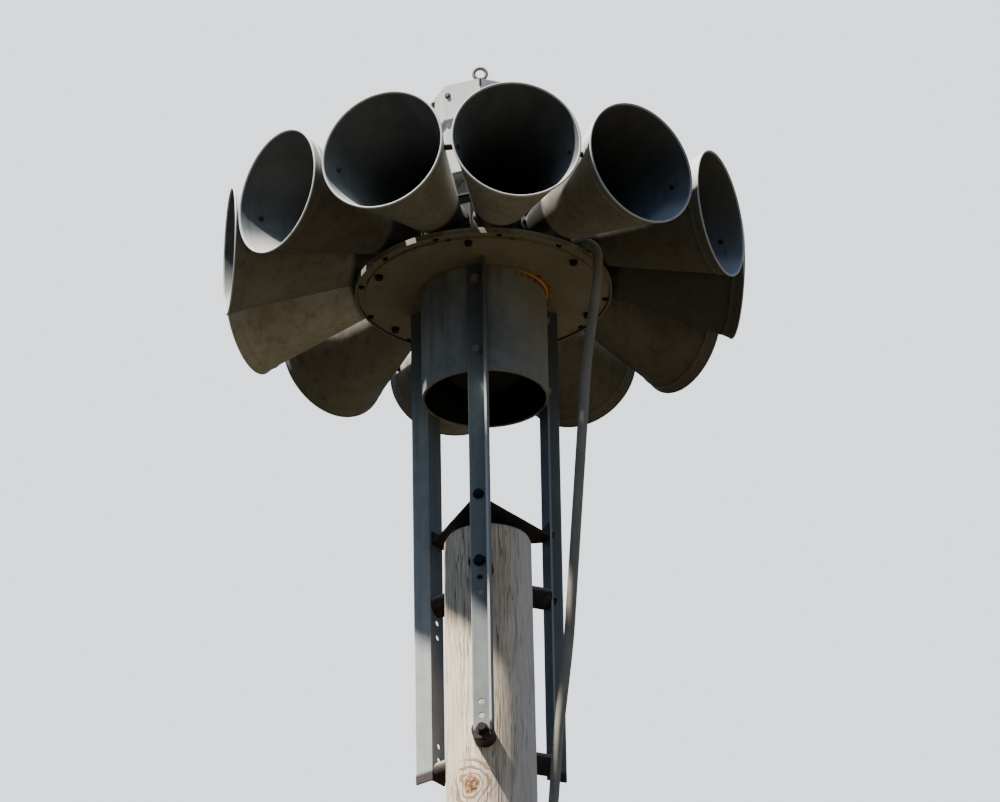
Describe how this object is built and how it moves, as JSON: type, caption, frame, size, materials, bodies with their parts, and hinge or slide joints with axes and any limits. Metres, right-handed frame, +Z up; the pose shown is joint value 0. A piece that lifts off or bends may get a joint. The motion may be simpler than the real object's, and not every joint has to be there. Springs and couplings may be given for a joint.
{
  "type": "civil defense siren tower",
  "caption": "Omnidirectional civil defense siren: a ring of conical horns over a motor can, carried on angle-iron legs bolted to the top of a tapered wooden pole, with a conduit down the pole.",
  "frame": {"origin": "centre of the pole's foot at ground level", "axes": "+Z up along the pole; horn_01 faces -Y, and horns and legs are counted anticlockwise seen from above"},
  "size_m": [1.4, 1.4, 11.8331],
  "materials": {
    "weathered_wood": "bare weathered timber, silvery with brown grain, knots and drying checks",
    "horn_paint": "weathered grey enamel, chalky, with dust and small rust spots",
    "housing_paint": "light grey enamel, faded",
    "plate_paint": "weathered grey enamel with rust bleeding at the joints",
    "motor_iron": "dark painted cast iron",
    "leg_paint": "weathered grey paint on rolled steel angle, rust round the bolts",
    "rusty_steel": "dark brown rusted steel",
    "conduit_paint": "weathered grey conduit",
    "eye_steel": "forged steel, dull galvanised"
  },
  "bodies": {
    "root": {"base_ring_plate": "plate_paint", "conduit": "conduit_paint", "conduit_connector": "conduit_paint", "conduit_straps": "conduit_paint", "drum_top_plate": "housing_paint", "hood": "housing_paint", "horn_01": "horn_paint", "horn_02": "horn_paint", "horn_03": "horn_paint", "horn_04": "horn_paint", "horn_05": "horn_paint", "horn_06": "horn_paint", "horn_07": "horn_paint", "horn_08": "horn_paint", "horn_09": "horn_paint", "horn_10": "horn_paint", "horn_11": "horn_paint", "horn_12": "horn_paint", "horn_drum": "housing_paint", "horn_ties": "rusty_steel", "leg_front": "leg_paint", "leg_left": "leg_paint", "leg_right": "leg_paint", "lifting_eye": "eye_steel", "low_spacer_front": "rusty_steel", "low_spacer_left": "rusty_steel", "low_spacer_right": "rusty_steel", "mid_spacer_front": "rusty_steel", "mid_spacer_left": "rusty_steel", "mid_spacer_right": "rusty_steel", "motor": "motor_iron", "motor_can": "plate_paint", "motor_plate": "plate_paint", "neck": "housing_paint", "neck_pedestal": "housing_paint", "pole": "weathered_wood", "spreader_plate": "rusty_steel"}
  },
  "joints": []
}
